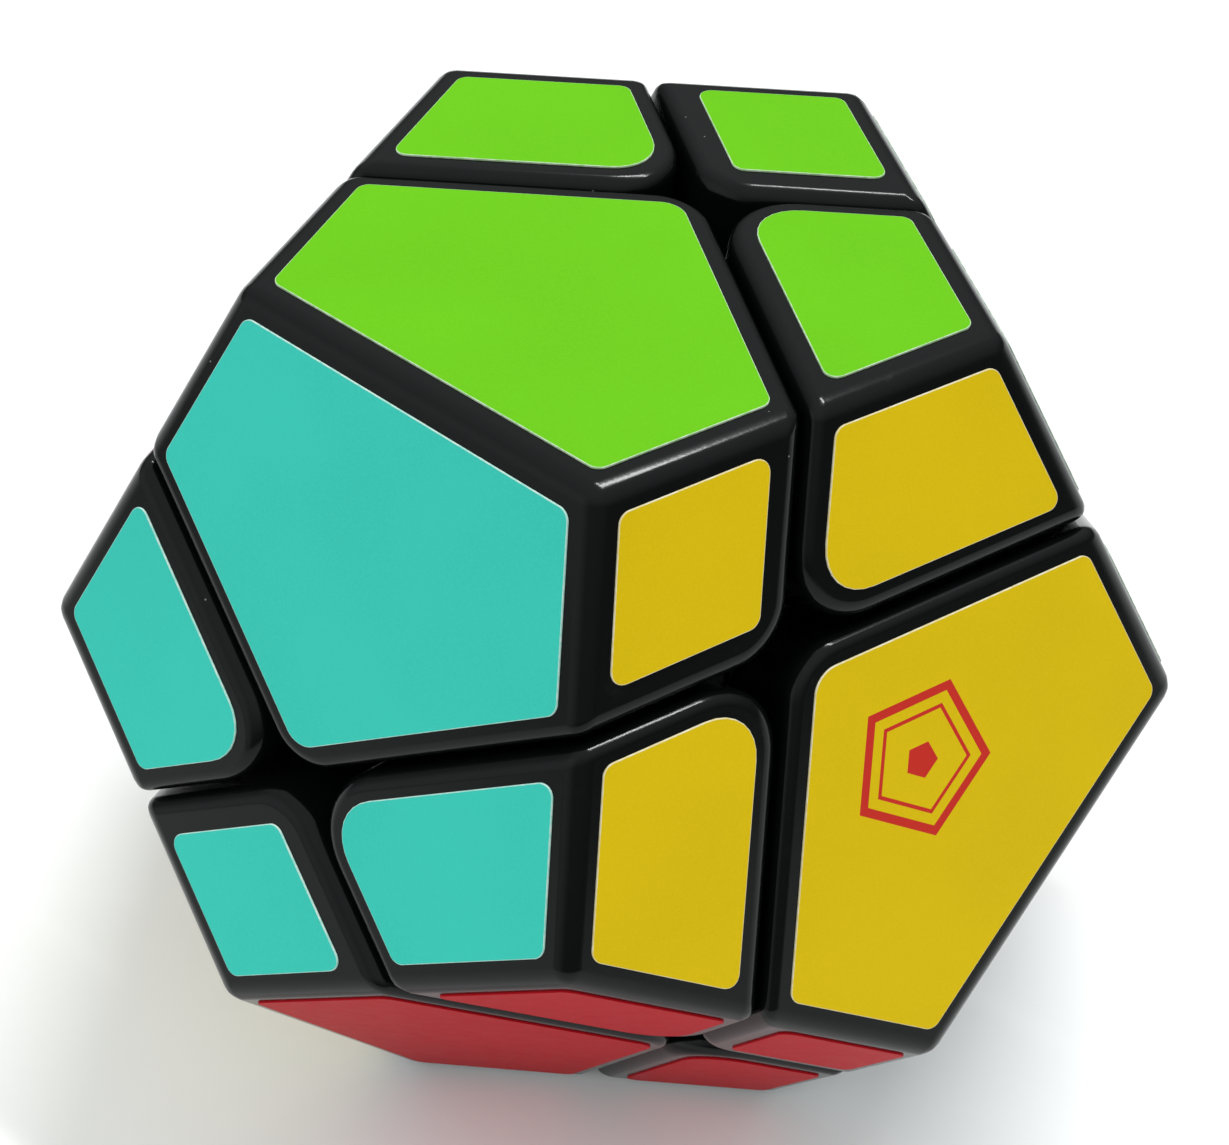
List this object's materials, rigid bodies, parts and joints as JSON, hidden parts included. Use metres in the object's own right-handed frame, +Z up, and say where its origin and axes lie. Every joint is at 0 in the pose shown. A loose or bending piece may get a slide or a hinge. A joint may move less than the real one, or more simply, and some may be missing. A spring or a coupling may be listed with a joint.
{
  "type": "dodecahedron twisty puzzle",
  "caption": "Twelve-sided twisty puzzle with black plastic pieces and coloured stickers, cut by planes through its middle and turning on sprung, screwed corners.",
  "frame": {"origin": "middle of the face that it rests on, at the outside of the film", "axes": "+Z up through the face opposite, -Y towards the two-faced centre whose edge slopes down to the front, +X to the right"},
  "size_m": [0.082, 0.0862, 0.0704],
  "materials": {
    "shell_plastic": "satin black",
    "inner_plastic": "moulded, matte black",
    "steel": "zinc plated",
    "green_film": "vinyl film, satin",
    "turquoise_film": "vinyl film, satin",
    "yellow_film": "vinyl film, satin",
    "red_film": "vinyl film, satin",
    "white_film": "vinyl film, satin",
    "orange_film": "vinyl film, satin",
    "purple_film": "vinyl film, satin",
    "blue_film": "vinyl film, satin",
    "pine_film": "vinyl film, satin",
    "pink_film": "vinyl film, satin",
    "cream_film": "vinyl film, satin",
    "grey_film": "vinyl film, satin"
  },
  "bodies": {
    "lower_half": {"core": "inner_plastic", "tension_screws": "steel", "washers": "steel", "spring_top_right": "steel", "spring_front_left": "steel", "spring_low_right": "steel", "spring_back_left": "steel", "loose_base_lower": "inner_plastic", "loose_shell_low_left": "shell_plastic", "centre_bases_lower": "inner_plastic", "centre_shell_low_front": "shell_plastic", "centre_shell_low_back": "shell_plastic", "centre_shell_left": "shell_plastic", "turquoise_lower": "turquoise_film", "red_lower": "red_film", "white_lower": "white_film", "orange_lower": "orange_film", "purple_lower": "purple_film", "blue_lower": "blue_film", "pink_lower": "pink_film", "cream_lower": "cream_film", "grey_lower": "grey_film"},
    "upper_half": {"loose_bases_upper": "inner_plastic", "loose_shell_front_right": "shell_plastic", "loose_shell_top_left": "shell_plastic", "loose_shell_back_right": "shell_plastic", "centre_bases_upper": "inner_plastic", "centre_shell_top_front": "shell_plastic", "centre_shell_right": "shell_plastic", "centre_shell_top_back": "shell_plastic", "green_upper": "green_film", "turquoise_upper": "turquoise_film", "yellow_upper": "yellow_film", "red_upper": "red_film", "orange_upper": "orange_film", "blue_upper": "blue_film", "pine_upper": "pine_film", "pink_upper": "pink_film", "grey_upper": "grey_film"},
    "corner_top_right": {"screwed_base_top_right": "inner_plastic", "screwed_shell_top_right": "shell_plastic", "green_top_right": "green_film", "yellow_top_right": "yellow_film", "pine_top_right": "pine_film"},
    "corner_front_left": {"screwed_base_front_left": "inner_plastic", "screwed_shell_front_left": "shell_plastic", "turquoise_front_left": "turquoise_film", "pink_front_left": "pink_film", "cream_front_left": "cream_film"},
    "corner_low_right": {"screwed_base_low_right": "inner_plastic", "screwed_shell_low_right": "shell_plastic", "white_low_right": "white_film", "red_low_right": "red_film", "grey_low_right": "grey_film"},
    "corner_back_left": {"screwed_base_back_left": "inner_plastic", "screwed_shell_back_left": "shell_plastic", "orange_back_left": "orange_film", "purple_back_left": "purple_film", "blue_back_left": "blue_film"}
  },
  "joints": [
    {"name": "half_turn", "type": "hinge", "parent": "lower_half", "child": "upper_half", "pos_m": [0, 0, 0.0352], "axis": [0.5774, 0.1876, 0.7947], "continuous": true},
    {"name": "corner_top_right_lift", "type": "slide", "parent": "upper_half", "child": "corner_top_right", "axis": [0.5774, 0.1876, 0.7947], "range_m": [0, 0.0006], "stiffness_N_per_m": 500, "springref_m": -0.0012, "deforming": ["spring_top_right"]},
    {"name": "corner_front_left_lift", "type": "slide", "parent": "lower_half", "child": "corner_front_left", "axis": [-0.5774, -0.7947, 0.1876], "range_m": [0, 0.0006], "stiffness_N_per_m": 500, "springref_m": -0.0012, "deforming": ["spring_front_left"]},
    {"name": "corner_low_right_lift", "type": "slide", "parent": "lower_half", "child": "corner_low_right", "axis": [0.5774, -0.1876, -0.7947], "range_m": [0, 0.0006], "stiffness_N_per_m": 500, "springref_m": -0.0012, "deforming": ["spring_low_right"]},
    {"name": "corner_back_left_lift", "type": "slide", "parent": "lower_half", "child": "corner_back_left", "axis": [-0.5774, 0.7947, -0.1876], "range_m": [0, 0.0006], "stiffness_N_per_m": 500, "springref_m": -0.0012, "deforming": ["spring_back_left"]}
  ]
}
